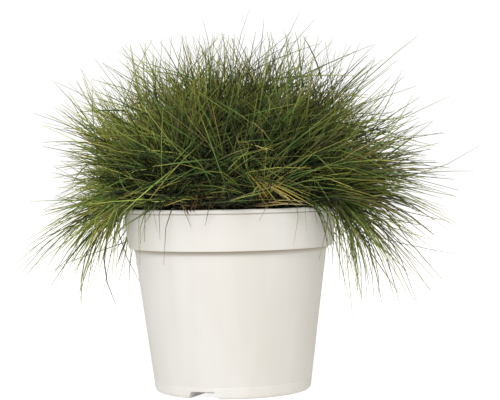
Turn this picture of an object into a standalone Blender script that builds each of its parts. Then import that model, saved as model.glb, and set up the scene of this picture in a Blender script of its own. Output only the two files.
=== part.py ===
"""Potted bearskin fescue: a cushion of needle-leaved grass in a plain nursery pot.

Metres, +Z up. The origin is the centre of the pot's flat base, and the photographed side faces -Y.
The grass is cut into tufts, the divisions that it would be teased apart into on a bench. Each tuft
follows the way the leaves grow: up out of the crown, outwards, and over the rim at the two sides.
"""

import math
import random

import bmesh
import bpy
from mathutils import Vector

# Pot
POT_HEIGHT = 0.103
RIM_RADIUS = 0.0600
BASE_RADIUS = 0.0437
WALL = 0.0012
SEGMENTS = 64
BEAD_HEIGHT = 0.0021
GROOVE_DEPTH = 0.0007
COLLAR_TOP_RADIUS = 0.0595
COLLAR_FOOT_RADIUS = 0.0574
COLLAR_FOOT_HEIGHT = 0.0807
SHOULDER_HEIGHT = 0.0030
SHOULDER_RADIUS = 0.0540
SHOULDER_SAG = 0.85
FOOT_ROUND = 0.0028
MARK_HEIGHT = 0.0068
MARK_DEPTH = 0.0002
EDGE = 0.0005
ROUND_STEPS = 3
SHARP_ANGLE = math.radians(35)

# Drainage channels under the base, open at the pot's edge
CHANNELS = 3
CHANNEL_AZIMUTH = math.radians(-112.4)
CHANNEL_WIDTH_ROOF = 0.0138
CHANNEL_WIDTH_FLOOR = 0.0178
CHANNEL_HEIGHT = 0.0042
CHANNEL_INNER_END = 0.0200
DRAIN_RADIUS = 0.0035
DRAIN_AT = 0.0320
DRAIN_SEGMENTS = 12
TOOL_MARGIN = 0.0020

# Growing medium
MEDIUM_TOP = 0.0950
FIT_GAP = 0.0004

# Grass: where leaves start, and the cap that their tips reach
CROWN_RADIUS = 0.0440
CROWN_HEIGHT = MEDIUM_TOP + FIT_GAP
CAP_CENTRE_HEIGHT = 0.1060
TOP_REACH = 0.1010
LEFT_REACH = 0.1220
RIGHT_REACH = 0.1370
FRONT_REACH = 0.1220
BACK_REACH = 0.1190
FRONT_LOWEST = math.radians(82)
BACK_LOWEST = math.radians(102)
SIDE_LOWEST = math.radians(120)
OUTER_LEAN = math.radians(33)
BEND_AT = 0.5
CROWN_SPREAD = 0.8

# Tufts: name, how many stand in the ring, and the share of the crown between the ring's edges
TUFT_RINGS = (
    ("tuft_inner", 6, 0.13, 0.38),
    ("tuft_middle", 10, 0.38, 0.68),
    ("tuft_outer", 12, 0.68, 1.0),
)
CENTRE_SHARE = 0.13
TUFT_RIDGES = 6
VALLEY = 0.80
TUFT_SECTIONS = ((0.0, 0.52), (0.14, 0.74), (0.34, 0.90), (0.56, 0.93), (0.74, 0.84))
TIP_WIDTH = 0.58
VALLEY_STOP = 0.85
VALLEY_WIDTH = 0.30
SHORTEST_TUFT = 0.95
SEED = 11

# Fallen dead leaves on the medium, between the crown and the pot's front wall: azimuth, length
STRAW_WISPS = ((-100, 0.030), (-58, 0.036), (-18, 0.028))
STRAW_RADIUS = 0.0504
STRAW_THICKNESS = 0.0022
STRAW_RISE = 0.0014
STRAW_END = 0.3
STRAW_POINTS = 9

CREAM = (0.80, 0.77, 0.70)
PEAT = (0.045, 0.028, 0.018)
STRAW = (0.48, 0.36, 0.19)
GREENS = {
    "tuft_centre": (0.060, 0.125, 0.030),
    "tuft_inner": (0.070, 0.140, 0.032),
    "tuft_middle": (0.085, 0.160, 0.036),
    "tuft_outer": (0.100, 0.180, 0.042),
}


def clear_scene():
    for item in list(bpy.data.objects):
        bpy.data.objects.remove(item, do_unlink=True)


def material(name, colour, roughness):
    made = bpy.data.materials.get(name) or bpy.data.materials.new(name)
    made.use_nodes = True
    shader = made.node_tree.nodes["Principled BSDF"]
    shader.inputs["Base Color"].default_value = (*colour, 1.0)
    shader.inputs["Roughness"].default_value = roughness
    shader.inputs["Metallic"].default_value = 0.0
    return made


def object_from(name, bm, surface):
    """A linked object with its faces turned outwards and shaded smooth between sharp edges."""
    bmesh.ops.recalc_face_normals(bm, faces=bm.faces)
    mesh = bpy.data.meshes.new(name)
    bm.to_mesh(mesh)
    bm.free()
    mesh.shade_smooth()
    mesh.set_sharp_from_angle(angle=SHARP_ANGLE)
    made = bpy.data.objects.new(name, mesh)
    bpy.context.scene.collection.objects.link(made)
    if surface:
        mesh.materials.append(surface)
    return made


def turned(name, profile, surface):
    """A solid turned about Z. The profile starts and ends on the axis."""
    bm = bmesh.new()
    rings = []
    for radius, height in profile:
        if radius == 0:
            rings.append([bm.verts.new((0, 0, height))])
            continue
        turns = (2 * math.pi * step / SEGMENTS for step in range(SEGMENTS))
        rings.append([bm.verts.new((radius * math.cos(a), radius * math.sin(a), height)) for a in turns])
    for upper, lower in zip(rings, rings[1:]):
        for step in range(SEGMENTS):
            after = (step + 1) % SEGMENTS
            if len(upper) == 1:
                bm.faces.new((upper[0], lower[step], lower[after]))
            elif len(lower) == 1:
                bm.faces.new((upper[step], lower[0], upper[after]))
            else:
                bm.faces.new((upper[step], lower[step], lower[after], upper[after]))
    return object_from(name, bm, surface)


def cutter(name, bm):
    made = object_from(name, bm, None)
    made.hide_render = True
    made.display_type = "WIRE"
    return made


def cut(target, tool):
    step = target.modifiers.new("cut_" + tool.name, "BOOLEAN")
    step.operation = "DIFFERENCE"
    step.solver = "EXACT"
    step.object = tool


def body_radius(height):
    """Outer radius of the pot's tapering body, below the shoulder."""
    top = COLLAR_FOOT_HEIGHT - SHOULDER_HEIGHT
    return BASE_RADIUS + (SHOULDER_RADIUS - BASE_RADIUS) * height / top


def outer_profile():
    """The pot's outside from the rim's inner edge down to the base's centre."""
    bead_foot = POT_HEIGHT - BEAD_HEIGHT
    points = [
        (RIM_RADIUS - EDGE, POT_HEIGHT),
        (RIM_RADIUS, POT_HEIGHT - EDGE),
        (RIM_RADIUS, bead_foot + EDGE),
        (RIM_RADIUS - GROOVE_DEPTH, bead_foot),
        (COLLAR_TOP_RADIUS, bead_foot - 2 * EDGE),
        (COLLAR_FOOT_RADIUS, COLLAR_FOOT_HEIGHT),
    ]
    for step in range(1, ROUND_STEPS):
        share = step / ROUND_STEPS
        fall = SHOULDER_SAG * math.sin(share * math.pi / 2)
        radius = COLLAR_FOOT_RADIUS + (SHOULDER_RADIUS - COLLAR_FOOT_RADIUS) * share
        points.append((radius, COLLAR_FOOT_HEIGHT - SHOULDER_HEIGHT * fall))
    points += [
        (SHOULDER_RADIUS, COLLAR_FOOT_HEIGHT - SHOULDER_HEIGHT),
        (body_radius(MARK_HEIGHT + EDGE), MARK_HEIGHT + EDGE),
        (body_radius(MARK_HEIGHT) - MARK_DEPTH, MARK_HEIGHT),
        (body_radius(MARK_HEIGHT - EDGE), MARK_HEIGHT - EDGE),
    ]
    for step in range(ROUND_STEPS + 1):
        turn = math.pi / 2 * step / ROUND_STEPS
        radius = body_radius(FOOT_ROUND) - FOOT_ROUND * (1 - math.cos(turn))
        points.append((radius, FOOT_ROUND * (1 - math.sin(turn))))
    return points + [(0, 0)]


def inner_profile(gap, top):
    """The pot's inside, moved inwards by a gap, from the base's centre up to a height."""
    offset = WALL + gap
    chamfer = FOOT_ROUND / 2
    collar_height = POT_HEIGHT - BEAD_HEIGHT - COLLAR_FOOT_HEIGHT
    collar_slope = (COLLAR_TOP_RADIUS - COLLAR_FOOT_RADIUS) / collar_height
    top_radius = COLLAR_FOOT_RADIUS + collar_slope * (top - COLLAR_FOOT_HEIGHT)
    return [
        (0, offset),
        (body_radius(offset) - offset - chamfer, offset),
        (body_radius(offset + chamfer) - offset, offset + chamfer),
        (SHOULDER_RADIUS - offset, COLLAR_FOOT_HEIGHT - SHOULDER_HEIGHT + gap),
        (COLLAR_FOOT_RADIUS - offset, COLLAR_FOOT_HEIGHT + offset),
        (top_radius - offset, top),
    ]


def channel_tool(name, index, grow, height):
    """A straight run with sloping sides, from under the base out past the pot's edge."""
    turn = CHANNEL_AZIMUTH + index * 2 * math.pi / CHANNELS
    along = Vector((math.cos(turn), math.sin(turn), 0))
    across = Vector((-math.sin(turn), math.cos(turn), 0))
    slope = (CHANNEL_WIDTH_FLOOR - CHANNEL_WIDTH_ROOF) / 2 / CHANNEL_HEIGHT
    half_floor = CHANNEL_WIDTH_FLOOR / 2 + slope * TOOL_MARGIN + grow
    half_roof = CHANNEL_WIDTH_FLOOR / 2 - slope * height + grow
    bm = bmesh.new()
    ends = []
    for reach in (CHANNEL_INNER_END - grow, RIM_RADIUS + grow):
        corners = (
            (-half_floor, -TOOL_MARGIN),
            (half_floor, -TOOL_MARGIN),
            (half_roof, height),
            (-half_roof, height),
        )
        places = (along * reach + across * side + Vector((0, 0, up)) for side, up in corners)
        ends.append([bm.verts.new(place) for place in places])
    bm.faces.new(ends[0])
    bm.faces.new(ends[1])
    for here in range(4):
        after = (here + 1) % 4
        bm.faces.new((ends[0][here], ends[0][after], ends[1][after], ends[1][here]))
    return cutter(f"{name}_{index + 1}", bm)


def drain_tool(index):
    turn = CHANNEL_AZIMUTH + index * 2 * math.pi / CHANNELS
    bm = bmesh.new()
    bmesh.ops.create_cone(
        bm,
        cap_ends=True,
        segments=DRAIN_SEGMENTS,
        radius1=DRAIN_RADIUS,
        radius2=DRAIN_RADIUS,
        depth=CHANNEL_HEIGHT + WALL,
    )
    place = Vector((DRAIN_AT * math.cos(turn), DRAIN_AT * math.sin(turn), CHANNEL_HEIGHT))
    bmesh.ops.translate(bm, verts=bm.verts, vec=place)
    return cutter(f"drain_tool_{index + 1}", bm)


def pot():
    """One moulding: bead, collar, shoulder, tapering wall and base, with a channel to each drain hole."""
    cream = material("cream_plastic", CREAM, 0.5)
    made = turned("pot", [(0, POT_HEIGHT), *outer_profile()], cream)
    hollow = turned("hollow_tool", [*inner_profile(0, POT_HEIGHT + WALL), (0, POT_HEIGHT + WALL)], None)
    hollow.hide_render = True
    hollow.display_type = "WIRE"
    for index in range(CHANNELS):
        cut(hollow, channel_tool("hump_tool", index, WALL, CHANNEL_HEIGHT + WALL))
    cut(made, hollow)
    for index in range(CHANNELS):
        cut(made, channel_tool("channel_tool", index, 0, CHANNEL_HEIGHT))
        cut(made, drain_tool(index))
    return made


def growing_medium():
    """Peat and bark, filling the pot to a finger's width under the rim."""
    peat = material("peat_and_bark", PEAT, 0.95)
    made = turned("growing_medium", [*inner_profile(FIT_GAP, MEDIUM_TOP), (0, MEDIUM_TOP)], peat)
    for index in range(CHANNELS):
        tool = channel_tool("bed_tool", index, WALL + FIT_GAP, CHANNEL_HEIGHT + WALL + FIT_GAP)
        cut(made, tool)
    return made


def around(azimuth, right, back, left, front):
    """A value that passes smoothly through four given ones, at +X, +Y, -X and -Y."""
    x, y = math.cos(azimuth), math.sin(azimuth)
    return x * x * (right if x > 0 else left) + y * y * (back if y > 0 else front)


def growth_point(share, azimuth, along):
    """A point on a leaf. share: 0 is the cushion's middle, 1 its skirt. along: 0 is the crown, 1 the tip."""
    start = Vector((CROWN_RADIUS * share**CROWN_SPREAD, CROWN_HEIGHT))
    lowest = around(azimuth, SIDE_LOWEST, BACK_LOWEST, SIDE_LOWEST, FRONT_LOWEST)
    side_reach = around(azimuth, RIGHT_REACH, BACK_REACH, LEFT_REACH, FRONT_REACH)
    fall = lowest * share
    reach = TOP_REACH + (side_reach - TOP_REACH) * math.sin(min(fall, math.pi / 2)) ** 2
    tip = Vector((reach * math.sin(fall), CAP_CENTRE_HEIGHT + reach * math.cos(fall)))
    lean = OUTER_LEAN * share
    bend = start + Vector((math.sin(lean), math.cos(lean))) * BEND_AT * (tip - start).length
    place = start.lerp(bend, along).lerp(bend.lerp(tip, along), along)
    return Vector((place.x * math.cos(azimuth), place.x * math.sin(azimuth), place.y))


def tuft(name, surface, place, length):
    """A sheaf of leaves: ridged, closed at the crown, and ending in one pointed wisp for each ridge.

    place(ahead, aside, along) turns a point of the tuft's own cross-section into a place in the plant.
    """
    spokes = 2 * TUFT_RIDGES
    chance = random.Random(f"{SEED} {name}")
    bm = bmesh.new()
    rings = []
    for along, width in TUFT_SECTIONS:
        ring = []
        for spoke in range(spokes):
            turn = 2 * math.pi * spoke / spokes
            reach = width * (VALLEY if spoke % 2 else 1)
            ring.append(bm.verts.new(place(reach * math.cos(turn), reach * math.sin(turn), along * length)))
        rings.append(ring)
    ends = []
    for spoke in range(spokes):
        turn = 2 * math.pi * spoke / spokes
        if spoke % 2:
            along, reach = VALLEY_STOP, VALLEY_WIDTH
        else:
            along, reach = chance.uniform(SHORTEST_TUFT, 1.0), TIP_WIDTH
        ends.append(bm.verts.new(place(reach * math.cos(turn), reach * math.sin(turn), along * length)))
    rings.append(ends)
    bm.faces.new(rings[0])
    for lower, upper in zip(rings, rings[1:]):
        for here in range(spokes):
            after = (here + 1) % spokes
            bm.faces.new((lower[here], lower[after], upper[after]))
            bm.faces.new((lower[here], upper[after], upper[here]))
    middle = bm.verts.new(place(0, 0, VALLEY_STOP * length))
    for here in range(spokes):
        bm.faces.new((ends[here], ends[(here + 1) % spokes], middle))
    return object_from(name, bm, surface)


def centre_tuft():
    """The upright tuft on the plant's middle, whose cross-section is a disc about Z."""

    def place(ahead, aside, along):
        share = CENTRE_SHARE * math.hypot(ahead, aside)
        return growth_point(share, math.atan2(aside, ahead), along)

    return tuft("tuft_centre", material("leaf_green_centre", GREENS["tuft_centre"], 0.6), place, 1.0)


def ring_of_tufts(ring_name, count, inner, outer):
    surface = material("leaf_green_" + ring_name.split("_")[1], GREENS[ring_name], 0.6)
    chance = random.Random(f"{SEED} {ring_name}")
    middle, half = (inner + outer) / 2, (outer - inner) / 2
    half_turn = math.pi / count
    for index in range(count):
        azimuth = 2 * half_turn * index

        def place(ahead, aside, along, azimuth=azimuth):
            return growth_point(middle + half * ahead, azimuth + half_turn * aside, along)

        tuft(f"{ring_name}_{index + 1}", surface, place, chance.uniform(SHORTEST_TUFT, 1.0))


def straw_wisp(index, azimuth, length):
    """A pinch of dead leaves lying round the edge of the medium, thin at both ends."""
    guide = bpy.data.curves.new(f"straw_wisp_{index}", "CURVE")
    guide.dimensions = "3D"
    guide.bevel_depth = STRAW_THICKNESS / 2
    guide.bevel_resolution = 1
    guide.use_fill_caps = True
    line = guide.splines.new("POLY")
    line.points.add(STRAW_POINTS - 1)
    for step, point in enumerate(line.points):
        share = step / (STRAW_POINTS - 1)
        turn = math.radians(azimuth) + (share - 0.5) * length / STRAW_RADIUS
        height = MEDIUM_TOP + FIT_GAP + STRAW_THICKNESS / 2 + STRAW_RISE * math.sin(math.pi * share)
        point.co = (STRAW_RADIUS * math.cos(turn), STRAW_RADIUS * math.sin(turn), height, 1)
        point.radius = STRAW_END + (1 - STRAW_END) * math.sin(math.pi * share)
    guide.materials.append(material("dead_leaf", STRAW, 0.8))
    made = bpy.data.objects.new(f"straw_wisp_{index}", guide)
    bpy.context.scene.collection.objects.link(made)


clear_scene()
pot()
growing_medium()
centre_tuft()
for ring in TUFT_RINGS:
    ring_of_tufts(*ring)
for number, (where, how_long) in enumerate(STRAW_WISPS, start=1):
    straw_wisp(number, where, how_long)
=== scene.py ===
"""Potted bearskin fescue: the finished look of every piece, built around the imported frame.

Metres, +Z up. The pot stands on its base at the origin and its photographed side faces -Y.
"""

import math
import random

import bmesh
import bpy
from mathutils import Matrix, Vector


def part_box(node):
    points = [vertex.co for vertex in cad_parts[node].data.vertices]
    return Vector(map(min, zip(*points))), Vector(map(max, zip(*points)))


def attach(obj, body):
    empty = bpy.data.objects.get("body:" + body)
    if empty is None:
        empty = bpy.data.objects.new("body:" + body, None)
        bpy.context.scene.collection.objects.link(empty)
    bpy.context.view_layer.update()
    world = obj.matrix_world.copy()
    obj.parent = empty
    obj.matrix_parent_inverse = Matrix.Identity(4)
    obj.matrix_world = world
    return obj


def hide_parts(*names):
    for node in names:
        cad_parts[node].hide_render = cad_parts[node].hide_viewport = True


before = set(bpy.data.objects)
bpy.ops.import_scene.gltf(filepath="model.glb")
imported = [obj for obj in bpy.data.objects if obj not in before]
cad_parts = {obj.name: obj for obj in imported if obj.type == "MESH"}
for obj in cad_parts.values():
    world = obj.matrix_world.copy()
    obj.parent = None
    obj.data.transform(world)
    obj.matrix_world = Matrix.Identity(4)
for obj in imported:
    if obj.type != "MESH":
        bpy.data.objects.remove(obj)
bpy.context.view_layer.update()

# Nursery pot. The real one is a single thin injection moulding in cream polypropylene: a beaded
# rim, a deep collar, a tapering body, and three drainage channels that run out under the base.
pot_low, pot_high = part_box("pot")
POT_HEIGHT = pot_high.z
RIM_RADIUS = pot_high.x
BASE_RADIUS = 0.0437
WALL = 0.0012
BEAD_HEIGHT = 0.0022
BEAD_ROUND = 0.0007
GROOVE_DEPTH = 0.0010
COLLAR_TOP_RADIUS = 0.0595
COLLAR_FOOT_RADIUS = 0.0574
COLLAR_FOOT_HEIGHT = 0.0807
COLLAR_FOOT_ROUND = 0.0005
SHOULDER_HEIGHT = 0.0014
SHOULDER_RADIUS = 0.0540
FOOT_ROUND = 0.0028
MARK_HEIGHT = 0.0068
MARK_DEPTH = 0.00025
POT_SEGMENTS = 160
ARC_STEPS = 6
CHANNELS = 3
CHANNEL_AZIMUTH = math.radians(-112.4)
CHANNEL_WIDTH_ROOF = 0.0138
CHANNEL_WIDTH_FLOOR = 0.0178
CHANNEL_HEIGHT = 0.0042
CHANNEL_INNER_END = 0.0200
DRAIN_RADIUS = 0.0035
DRAIN_AT = 0.0320
TOOL_MARGIN = 0.0020
CREAM = "#EAE8E5"
CREAM_WARM = "#E5E1DB"


def linear(colour):
    """An sRGB hex colour as linear red, green and blue, with alpha 1."""
    parts = [int(colour[place : place + 2], 16) / 255 for place in (1, 3, 5)]
    return [*(p / 12.92 if p <= 0.04045 else ((p + 0.055) / 1.055) ** 2.4 for p in parts), 1.0]


def add(tree, kind, feeds=None, **settings):
    """A new node with its settings; feeds links each named or numbered input to a socket, or sets it."""
    made = tree.nodes.new(kind)
    for name, value in settings.items():
        setattr(made, name, value)
    for where, value in (feeds or {}).items():
        if isinstance(value, bpy.types.NodeSocket):
            tree.links.new(value, made.inputs[where])
        else:
            made.inputs[where].default_value = value
    return made


def new_material(name, roughness, **shader_values):
    """A material with its shader's plain values set; returns it with its tree and shader."""
    made = bpy.data.materials.new(name)
    made.use_nodes = True
    shader = made.node_tree.nodes["Principled BSDF"]
    shader.inputs["Roughness"].default_value = roughness
    for socket, value in shader_values.items():
        shader.inputs[socket.replace("_", " ")].default_value = value
    return made, made.node_tree, shader


def arc(radius_at, height_at, size, start, end):
    """Points of a round edge, from one angle in degrees to another."""
    turns = (math.radians(start + (end - start) * step / ARC_STEPS) for step in range(ARC_STEPS + 1))
    return [(radius_at + size * math.cos(turn), height_at + size * math.sin(turn)) for turn in turns]


def turned(name, profile, segments):
    """A closed solid turned about Z. The profile starts and ends on the axis."""
    bm = bmesh.new()
    rings = []
    for radius, height in profile:
        count = segments if radius > 0 else 1
        turns = (2 * math.pi * step / count for step in range(count))
        rings.append([bm.verts.new((radius * math.cos(a), radius * math.sin(a), height)) for a in turns])
    for upper, lower in zip(rings, rings[1:]):
        for step in range(segments):
            here, after = step, (step + 1) % segments
            corners = [upper[here % len(upper)], lower[here % len(lower)]]
            corners += [lower[after % len(lower)], upper[after % len(upper)]]
            bm.faces.new(list(dict.fromkeys(corners)))
    bmesh.ops.recalc_face_normals(bm, faces=bm.faces)
    mesh = bpy.data.meshes.new(name)
    bm.to_mesh(mesh)
    bm.free()
    made = bpy.data.objects.new(name, mesh)
    bpy.context.scene.collection.objects.link(made)
    return made


def channel_tool(index, grow, height):
    """A straight run with sloping sides, from under the base out past the pot's edge."""
    turn = Matrix.Rotation(CHANNEL_AZIMUTH + index * 2 * math.pi / CHANNELS, 3, "Z")
    slope = (CHANNEL_WIDTH_FLOOR - CHANNEL_WIDTH_ROOF) / 2 / CHANNEL_HEIGHT
    half_floor = CHANNEL_WIDTH_FLOOR / 2 + slope * TOOL_MARGIN + grow
    half_roof = CHANNEL_WIDTH_FLOOR / 2 - slope * height + grow
    section = [(-half_floor, -TOOL_MARGIN), (half_floor, -TOOL_MARGIN), (half_roof, height), (-half_roof, height)]
    bm = bmesh.new()
    ends = []
    for reach in (CHANNEL_INNER_END - grow, RIM_RADIUS + grow):
        ends.append([bm.verts.new(turn @ Vector((reach, side, up))) for side, up in section])
        bm.faces.new(ends[-1])
    for here in range(4):
        after = (here + 1) % 4
        bm.faces.new((ends[0][here], ends[0][after], ends[1][after], ends[1][here]))
    bmesh.ops.recalc_face_normals(bm, faces=bm.faces)
    mesh = bpy.data.meshes.new("channel_tool")
    bm.to_mesh(mesh)
    bm.free()
    made = bpy.data.objects.new("channel_tool", mesh)
    bpy.context.scene.collection.objects.link(made)
    return made


def drain_tool(index):
    turn = CHANNEL_AZIMUTH + index * 2 * math.pi / CHANNELS
    made = turned(
        "drain_tool",
        [(0, CHANNEL_HEIGHT + 2 * WALL), (DRAIN_RADIUS, CHANNEL_HEIGHT + 2 * WALL), (DRAIN_RADIUS, 0), (0, 0)],
        24,
    )
    made.data.transform(Matrix.Translation((DRAIN_AT * math.cos(turn), DRAIN_AT * math.sin(turn), 0)))
    return made


def cut(target, tools):
    """Cuts the tools out of the target for good, and removes them."""
    for tool in tools:
        step = target.modifiers.new("cut", "BOOLEAN")
        step.operation = "DIFFERENCE"
        step.solver = "EXACT"
        step.object = tool
    keep_result(target)
    for tool in tools:
        bpy.data.objects.remove(tool)


def keep_result(made):
    """Replaces an object's mesh with what its modifiers make of it."""
    graph = bpy.context.evaluated_depsgraph_get()
    mesh = bpy.data.meshes.new_from_object(made.evaluated_get(graph), depsgraph=graph)
    made.modifiers.clear()
    made.data = mesh


def body_radius(height):
    """Outer radius of the pot's tapering body, below the shoulder."""
    top = COLLAR_FOOT_HEIGHT - SHOULDER_HEIGHT
    return BASE_RADIUS + (SHOULDER_RADIUS - BASE_RADIUS) * height / top


def pot_outside():
    """The pot's outside, from the rim's inner edge down to the base's centre."""
    bead_foot = POT_HEIGHT - BEAD_HEIGHT
    inner_edge = RIM_RADIUS - GROOVE_DEPTH - WALL
    shoulder_foot = COLLAR_FOOT_HEIGHT - SHOULDER_HEIGHT
    points = arc(inner_edge + BEAD_ROUND, POT_HEIGHT - BEAD_ROUND, BEAD_ROUND, 150, 90)
    points += arc(RIM_RADIUS - BEAD_ROUND, POT_HEIGHT - BEAD_ROUND, BEAD_ROUND, 90, 0)
    points += arc(RIM_RADIUS - BEAD_ROUND, bead_foot + BEAD_ROUND, BEAD_ROUND, 0, -70)
    points += [(RIM_RADIUS - GROOVE_DEPTH, bead_foot - BEAD_ROUND / 3), (COLLAR_TOP_RADIUS, bead_foot - BEAD_ROUND)]
    points += arc(
        COLLAR_FOOT_RADIUS - COLLAR_FOOT_ROUND, COLLAR_FOOT_HEIGHT + COLLAR_FOOT_ROUND, COLLAR_FOOT_ROUND, 0, -80
    )
    points += [(SHOULDER_RADIUS + WALL, shoulder_foot + WALL), (SHOULDER_RADIUS + WALL / 3, shoulder_foot + WALL / 3)]
    points.append((body_radius(shoulder_foot - WALL), shoulder_foot - WALL))
    points += [
        (body_radius(MARK_HEIGHT) + 0 * MARK_DEPTH, MARK_HEIGHT + 2 * MARK_DEPTH),
        (body_radius(MARK_HEIGHT) - MARK_DEPTH, MARK_HEIGHT),
        (body_radius(MARK_HEIGHT) - MARK_DEPTH / 2, MARK_HEIGHT - 2 * MARK_DEPTH),
    ]
    points += arc(body_radius(FOOT_ROUND) - FOOT_ROUND, FOOT_ROUND, FOOT_ROUND, 0, -90)
    return points + [(0, 0)]


def pot_inside(gap, top):
    """The pot's inside, moved inwards by a gap, from a height down to the base's centre."""
    offset = WALL + gap
    collar_slope = (COLLAR_TOP_RADIUS - COLLAR_FOOT_RADIUS) / (POT_HEIGHT - BEAD_HEIGHT - COLLAR_FOOT_HEIGHT)
    return [
        (COLLAR_FOOT_RADIUS + collar_slope * (top - COLLAR_FOOT_HEIGHT) - offset, top),
        (COLLAR_FOOT_RADIUS - offset, COLLAR_FOOT_HEIGHT + offset),
        (SHOULDER_RADIUS - offset, COLLAR_FOOT_HEIGHT - SHOULDER_HEIGHT + gap),
        (body_radius(offset + FOOT_ROUND / 2) - offset, offset + FOOT_ROUND / 2),
        (body_radius(offset) - offset - FOOT_ROUND / 2, offset),
        (0, offset),
    ]


pot = turned("nursery_pot", [(0, POT_HEIGHT - BEAD_ROUND / 2), *pot_outside()], POT_SEGMENTS)
hollow = turned("hollow_tool", [(0, POT_HEIGHT + WALL), *pot_inside(0, POT_HEIGHT + WALL)], POT_SEGMENTS)
cut(hollow, [channel_tool(index, WALL, CHANNEL_HEIGHT + WALL) for index in range(CHANNELS)])
channels = [channel_tool(index, 0, CHANNEL_HEIGHT) for index in range(CHANNELS)]
cut(pot, [hollow, *channels, *(drain_tool(index) for index in range(CHANNELS))])
pot.data.shade_smooth()
pot.data.set_sharp_from_angle(angle=math.radians(40))

# Moulded polypropylene: a soft satin surface with the mould's faint grain, a little uneven in tone
# where the melt has flowed up the wall, so that its highlights are broad and blurred.
moulded, tree, shader = new_material("moulded_polypropylene", 0.42, IOR=1.49, Specular_IOR_Level=0.42)
FLOW_WIDTH = 0.018
# Painted shade: a darker colour painted in a band just under the collar's foot and another under the bead, where their
# overhangs shade the wall. Each row: the band's top, the height where it has faded out, and its strength.
PAINTED_SHADE = "#9F947F"
PAINTED_SHADE_BANDS = ((COLLAR_FOOT_HEIGHT, 0.0773, 0.95), (POT_HEIGHT - BEAD_HEIGHT, 0.0999, 0.6))
GRAIN = 0.0009
place = add(tree, "ShaderNodeTexCoord").outputs["Object"]
stretched = add(tree, "ShaderNodeMapping", {"Vector": place, "Scale": (1, 1, 0.2)}).outputs[0]
flow = add(tree, "ShaderNodeTexNoise", {"Vector": stretched, "Scale": 1 / FLOW_WIDTH, "Detail": 2.0})
tone = add(tree, "ShaderNodeMapRange", {"Value": flow.outputs[0], "From Min": 0.35, "From Max": 0.65})
cream = add(tree, "ShaderNodeMix", {0: tone.outputs[0], 6: linear(CREAM), 7: linear(CREAM_WARM)}, data_type="RGBA")
height = add(tree, "ShaderNodeSeparateXYZ", {0: place}).outputs[2]
lines = []
for top, low, strength in PAINTED_SHADE_BANDS:
    near_top = {"Value": height, "From Min": low, "From Max": top, "To Max": strength}
    shade_amount = add(tree, "ShaderNodeMapRange", near_top, interpolation_type="SMOOTHSTEP")
    under = add(tree, "ShaderNodeMath", {0: height, 1: top}, operation="LESS_THAN")
    lines.append(add(tree, "ShaderNodeMath", {0: shade_amount.outputs[0], 1: under.outputs[0]}, operation="MULTIPLY"))
shade_amount = add(tree, "ShaderNodeMath", {0: lines[0].outputs[0], 1: lines[1].outputs[0]}, operation="ADD")
shaded_cream = add(tree, "ShaderNodeMix", {0: shade_amount.outputs[0], 6: cream.outputs[2], 7: linear(PAINTED_SHADE)}, data_type="RGBA")
tree.links.new(shaded_cream.outputs[2], shader.inputs["Base Color"])
grain = add(tree, "ShaderNodeTexNoise", {"Vector": place, "Scale": 1 / GRAIN, "Detail": 1.0})
sheen = add(tree, "ShaderNodeMapRange", {"Value": grain.outputs[0], "To Min": 0.36, "To Max": 0.50})
tree.links.new(sheen.outputs[0], shader.inputs["Roughness"])
relief = add(tree, "ShaderNodeBump", {"Height": grain.outputs[0], "Strength": 0.06, "Distance": 0.0001})
tree.links.new(relief.outputs[0], shader.inputs["Normal"])
pot.data.materials.clear()
pot.data.materials.append(moulded)
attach(pot, "root")
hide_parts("pot")


# Growing medium. Peat and composted bark, filled to a finger's width under the rim and heaped a
# little where the plant's crown sits in it. The crumbs and chips lie loose on top.
medium_low, medium_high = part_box("growing_medium")
MEDIUM_TOP = medium_high.z
FIT_GAP = 0.0004
MOUND_HEIGHT = 0.0065
MOUND_RADIUS = 0.0500
MEDIUM_SEGMENTS = 120
MEDIUM_RINGS = 36
LUMP_WIDTH = 0.0060
LUMP_HEIGHT = 0.0016
CRUMB_DENSITY = 90000
CRUMB_SIZE = (0.0006, 0.0020)
PEAT_DARK = "#1E1510"
PEAT_LIGHT = "#4A3526"
BARK = "#7A5638"


def medium_height(x, y):
    """Height of the medium's surface: heaped in the middle and lumpy."""
    share = min(math.hypot(x, y) / MOUND_RADIUS, 1)
    heap = MOUND_HEIGHT * (0.5 + 0.5 * math.cos(math.pi * share))
    lumps = mathutils_noise.noise(Vector((x, y, 0)) / LUMP_WIDTH) * LUMP_HEIGHT
    return MEDIUM_TOP - LUMP_HEIGHT / 2 + heap + lumps * 0.6


from mathutils import noise as mathutils_noise

side = pot_inside(FIT_GAP, MEDIUM_TOP - LUMP_HEIGHT)
floor_height = CHANNEL_HEIGHT + WALL + FIT_GAP
wall_line = [point for point in side if point[1] > floor_height]
wall_line += [(body_radius(floor_height) - WALL - FIT_GAP, floor_height), (0, floor_height)]
top_radius = wall_line[0][0]
top_rings = [(top_radius * step / MEDIUM_RINGS, MEDIUM_TOP) for step in range(MEDIUM_RINGS)]
medium = turned("growing_medium_peat", [*top_rings, *wall_line], MEDIUM_SEGMENTS)
for corner in medium.data.vertices:
    if corner.co.z > MEDIUM_TOP - LUMP_HEIGHT / 2:
        corner.co.z = medium_height(corner.co.x, corner.co.y)
medium.data.shade_smooth()

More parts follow.
